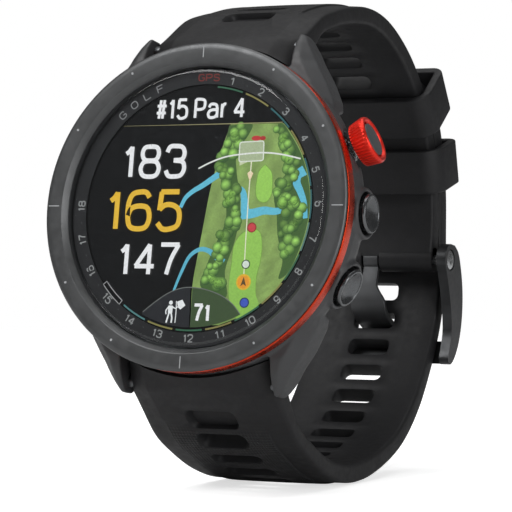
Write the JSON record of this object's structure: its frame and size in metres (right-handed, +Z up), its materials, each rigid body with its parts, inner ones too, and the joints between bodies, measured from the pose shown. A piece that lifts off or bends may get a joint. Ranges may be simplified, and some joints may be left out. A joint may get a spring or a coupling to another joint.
{
  "type": "golf gps watch",
  "caption": "Round sports watch with a lit golf hole map, three side buttons and a fastened silicone strap with a pin buckle, standing on the strap loop.",
  "frame": {"origin": "middle of the footprint, on the surface that the strap loop stands on", "axes": "+Z up; +X towards the buttons (3 o'clock); the lens faces -Y and leans back 9.1 degrees"},
  "size_m": [0.0492, 0.0784, 0.0728],
  "materials": {
    "gunmetal": "dark grey coated metal, satin, with a polished inner edge",
    "polymer": "dark grey fibre-reinforced polymer, fine matt",
    "silicone": "matt black silicone",
    "accent": "orange-red anodised, satin",
    "lens_glass": "clear, polished",
    "sensor_glass": "dark, polished",
    "screen": "black display with a lit golf hole map",
    "dark_steel": "dark coated steel, satin",
    "steel": "bare steel, fine turned",
    "board": "green solder mask",
    "foil": "satin aluminium",
    "gold": "gold plated",
    "seal": "black rubber"
  },
  "bodies": {
    "watch": {"accent_ring": "accent", "back_cover": "polymer", "back_gasket": "seal", "back_screw_1": "steel", "back_screw_2": "steel", "back_screw_3": "steel", "back_screw_4": "steel", "battery": "foil", "bezel_ring": "gunmetal", "buckle_pin": "steel", "button_bottom_bush": "steel", "button_bottom_switch": "foil", "button_middle_bush": "steel", "button_middle_switch": "foil", "button_top_bush": "steel", "button_top_switch": "foil", "case_body": "polymer", "charge_contact_1": "gold", "charge_contact_2": "gold", "charge_contact_3": "gold", "charge_contact_4": "gold", "charge_port": "polymer", "display_frame": "foil", "display_panel": "screen", "gps_antenna": "gold", "latch_plate_lower": "steel", "latch_plate_upper": "steel", "lens": "lens_glass", "lens_gasket": "seal", "lug_bar_lower": "dark_steel", "lug_bar_upper": "dark_steel", "main_board": "board", "sensor_board": "board", "sensor_window": "sensor_glass", "strap_lower": "silicone", "strap_upper": "silicone", "vibration_motor": "steel"},
    "button_top": {"button_top_cap": "dark_steel", "button_top_stem": "steel", "button_top_spring": "steel", "button_top_clip": "steel", "button_top_ring": "accent"},
    "button_middle": {"button_middle_cap": "dark_steel", "button_middle_stem": "steel", "button_middle_spring": "steel", "button_middle_clip": "steel"},
    "button_bottom": {"button_bottom_cap": "dark_steel", "button_bottom_stem": "steel", "button_bottom_spring": "steel", "button_bottom_clip": "steel"},
    "keeper_upper": {"keeper_upper": "silicone"},
    "keeper_lower": {"keeper_lower": "silicone"},
    "buckle_frame": {"buckle_frame": "dark_steel"},
    "buckle_tongue": {"buckle_tongue": "dark_steel"},
    "latch_upper": {"latch_slider_upper": "dark_steel"},
    "latch_lower": {"latch_slider_lower": "dark_steel"}
  },
  "joints": [
    {"name": "button_top_press", "type": "slide", "parent": "watch", "child": "button_top", "axis": [-0.9157, -0.0636, -0.3969], "range_m": [0, 0.0006], "stiffness_N_per_m": 400, "springref_m": -0.001},
    {"name": "button_middle_press", "type": "slide", "parent": "watch", "child": "button_middle", "axis": [-1, 0, 0], "range_m": [0, 0.0006], "stiffness_N_per_m": 400, "springref_m": -0.001},
    {"name": "button_bottom_press", "type": "slide", "parent": "watch", "child": "button_bottom", "axis": [-0.9026, 0.0681, 0.4251], "range_m": [0, 0.0006], "stiffness_N_per_m": 400, "springref_m": -0.001},
    {"name": "keeper_upper_slide", "type": "hinge", "parent": "watch", "child": "keeper_upper", "pos_m": [-0.00105, 0.00332, 0.0413], "axis": [1, 0, 0], "range_deg": [-2, 7]},
    {"name": "keeper_lower_slide", "type": "hinge", "parent": "watch", "child": "keeper_lower", "pos_m": [-0.00105, 0.00332, 0.0413], "axis": [1, 0, 0], "range_deg": [-6, 1]},
    {"name": "buckle_frame_swing", "type": "hinge", "parent": "watch", "child": "buckle_frame", "pos_m": [-0.00105, 0.03201, 0.03387], "axis": [1, 0, 0], "range_deg": [0, 3]},
    {"name": "buckle_tongue_swing", "type": "hinge", "parent": "buckle_frame", "child": "buckle_tongue", "pos_m": [-0.00105, 0.03201, 0.03387], "axis": [1, 0, 0], "range_deg": [0, 3]},
    {"name": "latch_upper_release", "type": "slide", "parent": "watch", "child": "latch_upper", "axis": [0, 0.7681, 0.6403], "range_m": [0, 0.0014], "stiffness_N_per_m": 200, "springref_m": -0.001},
    {"name": "latch_lower_release", "type": "slide", "parent": "watch", "child": "latch_lower", "axis": [0, 0.5712, -0.8208], "range_m": [0, 0.0014], "stiffness_N_per_m": 200, "springref_m": -0.001}
  ]
}
